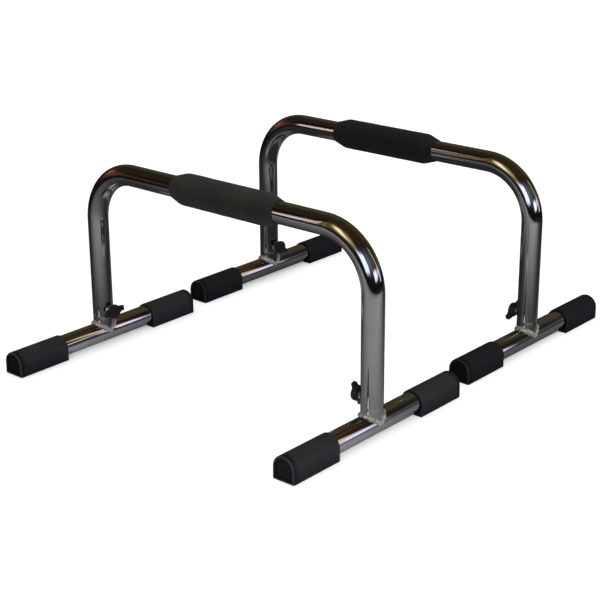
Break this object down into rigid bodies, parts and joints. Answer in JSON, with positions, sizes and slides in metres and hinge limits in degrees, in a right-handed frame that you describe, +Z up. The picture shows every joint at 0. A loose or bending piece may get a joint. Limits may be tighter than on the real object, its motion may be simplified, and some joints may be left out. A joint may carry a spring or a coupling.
{
  "type": "pair of push-up bars",
  "caption": "Free-standing push-up bars: a bent chrome tube handle with a foam grip on cross feet with black end caps, clamped by wing knobs.",
  "frame": {"origin": "on the floor under the middle of the pair", "axes": "+X along the handles, +Y along the foot tubes from the near bar to the far bar, +Z up"},
  "size_m": [0.4052, 0.5304, 0.2125],
  "materials": {
    "chrome_tube": "polished",
    "weld": "gloss",
    "foam": "matte",
    "cap_rubber": "satin",
    "zinc_steel": "satin",
    "knob_plastic": "satin"
  },
  "bodies": {
    "near_left_foot": {"near_left_foot_tube": "chrome_tube", "near_left_upright": "chrome_tube", "near_left_weld_bead": "weld", "near_left_outer_cap": "cap_rubber", "near_left_inner_cap": "cap_rubber"},
    "near_handle": {"near_handle_tube": "chrome_tube", "near_grip": "foam", "near_left_clamp_boss": "zinc_steel", "near_right_clamp_boss": "zinc_steel"},
    "near_right_foot": {"near_right_foot_tube": "chrome_tube", "near_right_upright": "chrome_tube", "near_right_weld_bead": "weld", "near_right_outer_cap": "cap_rubber", "near_right_inner_cap": "cap_rubber"},
    "near_left_screw": {"near_left_clamp_screw": "zinc_steel"},
    "near_left_knob": {"near_left_wing_knob": "knob_plastic"},
    "near_right_screw": {"near_right_clamp_screw": "zinc_steel"},
    "near_right_knob": {"near_right_wing_knob": "knob_plastic"},
    "far_left_foot": {"far_left_foot_tube": "chrome_tube", "far_left_upright": "chrome_tube", "far_left_weld_bead": "weld", "far_left_outer_cap": "cap_rubber", "far_left_inner_cap": "cap_rubber"},
    "far_handle": {"far_handle_tube": "chrome_tube", "far_grip": "foam", "far_left_clamp_boss": "zinc_steel", "far_right_clamp_boss": "zinc_steel"},
    "far_right_foot": {"far_right_foot_tube": "chrome_tube", "far_right_upright": "chrome_tube", "far_right_weld_bead": "weld", "far_right_outer_cap": "cap_rubber", "far_right_inner_cap": "cap_rubber"},
    "far_left_screw": {"far_left_clamp_screw": "zinc_steel"},
    "far_left_knob": {"far_left_wing_knob": "knob_plastic"},
    "far_right_screw": {"far_right_clamp_screw": "zinc_steel"},
    "far_right_knob": {"far_right_wing_knob": "knob_plastic"}
  },
  "joints": [
    {"name": "near_handle_lift", "type": "slide", "parent": "near_left_foot", "child": "near_handle", "axis": [0, 0, 1], "range_m": [0, 0.05]},
    {"name": "near_right_foot_drop", "type": "slide", "parent": "near_handle", "child": "near_right_foot", "axis": [0, 0, -1], "range_m": [0, 0.05]},
    {"name": "near_left_screw_travel", "type": "slide", "parent": "near_handle", "child": "near_left_screw", "axis": [1, 0, 0], "range_m": [0, 0.00275]},
    {"name": "near_left_knob_turn", "type": "hinge", "parent": "near_left_screw", "child": "near_left_knob", "pos_m": [-0.161, -0.13975, 0.0386], "axis": [1, 0, 0], "range_deg": [0, 990]},
    {"name": "near_right_screw_travel", "type": "slide", "parent": "near_handle", "child": "near_right_screw", "axis": [-1, 0, 0], "range_m": [0, 0.00275]},
    {"name": "near_right_knob_turn", "type": "hinge", "parent": "near_right_screw", "child": "near_right_knob", "pos_m": [0.171, -0.13975, 0.0386], "axis": [-1, 0, 0], "range_deg": [0, 990]},
    {"name": "far_handle_lift", "type": "slide", "parent": "far_left_foot", "child": "far_handle", "axis": [0, 0, 1], "range_m": [0, 0.05]},
    {"name": "far_right_foot_drop", "type": "slide", "parent": "far_handle", "child": "far_right_foot", "axis": [0, 0, -1], "range_m": [0, 0.05]},
    {"name": "far_left_screw_travel", "type": "slide", "parent": "far_handle", "child": "far_left_screw", "axis": [1, 0, 0], "range_m": [0, 0.00275]},
    {"name": "far_left_knob_turn", "type": "hinge", "parent": "far_left_screw", "child": "far_left_knob", "pos_m": [-0.171, 0.13975, 0.0386], "axis": [1, 0, 0], "range_deg": [0, 990]},
    {"name": "far_right_screw_travel", "type": "slide", "parent": "far_handle", "child": "far_right_screw", "axis": [-1, 0, 0], "range_m": [0, 0.00275]},
    {"name": "far_right_knob_turn", "type": "hinge", "parent": "far_right_screw", "child": "far_right_knob", "pos_m": [0.161, 0.13975, 0.0386], "axis": [-1, 0, 0], "range_deg": [0, 990]},
    {"name": "far_bar_spacing", "type": "slide", "parent": "near_left_foot", "child": "far_left_foot", "axis": [0, 1, 0], "range_m": [-0.02, 0.3]}
  ],
  "couplings": [
    {"joint": "near_right_foot_drop", "follows": "near_handle_lift", "ratio": 1},
    {"joint": "near_left_knob_turn", "follows": "near_left_screw_travel", "rad_per_m": 6283.2},
    {"joint": "near_right_knob_turn", "follows": "near_right_screw_travel", "rad_per_m": 6283.2},
    {"joint": "far_right_foot_drop", "follows": "far_handle_lift", "ratio": 1},
    {"joint": "far_left_knob_turn", "follows": "far_left_screw_travel", "rad_per_m": 6283.2},
    {"joint": "far_right_knob_turn", "follows": "far_right_screw_travel", "rad_per_m": 6283.2}
  ]
}
